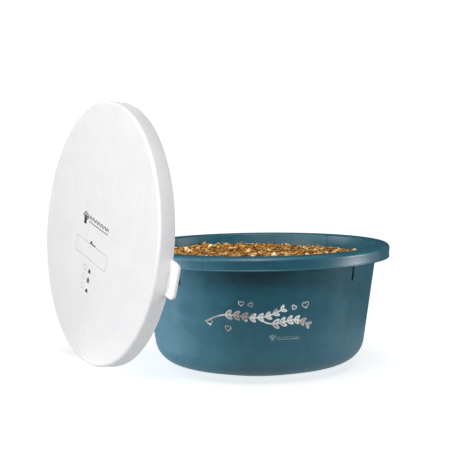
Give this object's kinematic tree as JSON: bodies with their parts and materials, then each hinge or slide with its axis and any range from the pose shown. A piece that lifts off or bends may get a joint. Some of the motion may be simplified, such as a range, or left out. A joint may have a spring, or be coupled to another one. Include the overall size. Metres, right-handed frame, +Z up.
{
  "type": "feed bowl",
  "caption": "Round plastic feed bowl with a wide turned-down rim, full of grain mix; its press-on lid with a pull tab stands on edge, leans on the rim and tips over flat.",
  "frame": {"origin": "centre of the bowl's flat base, on the floor", "axes": "+Z up the bowl's axis; the lid stands on the -X side and tips about Y; the printed front of the bowl faces -Y and -X"},
  "size_m": [0.3638, 0.4525, 0.3458],
  "materials": {
    "bowl_plastic": "satin, injection moulded, dyed petrol blue",
    "feed_grain": "dry loose grain mix",
    "lid_plastic": "satin, injection moulded, white"
  },
  "bodies": {
    "bowl": {"bowl": "bowl_plastic", "feed_mix": "feed_grain"},
    "lid": {"lid": "lid_plastic"}
  },
  "joints": [
    {"name": "lid_tip", "type": "hinge", "parent": "bowl", "child": "lid", "pos_m": [-0.19024, 0.11, 0.004], "axis": [0, -1, 0], "range_deg": [0, 95]}
  ]
}
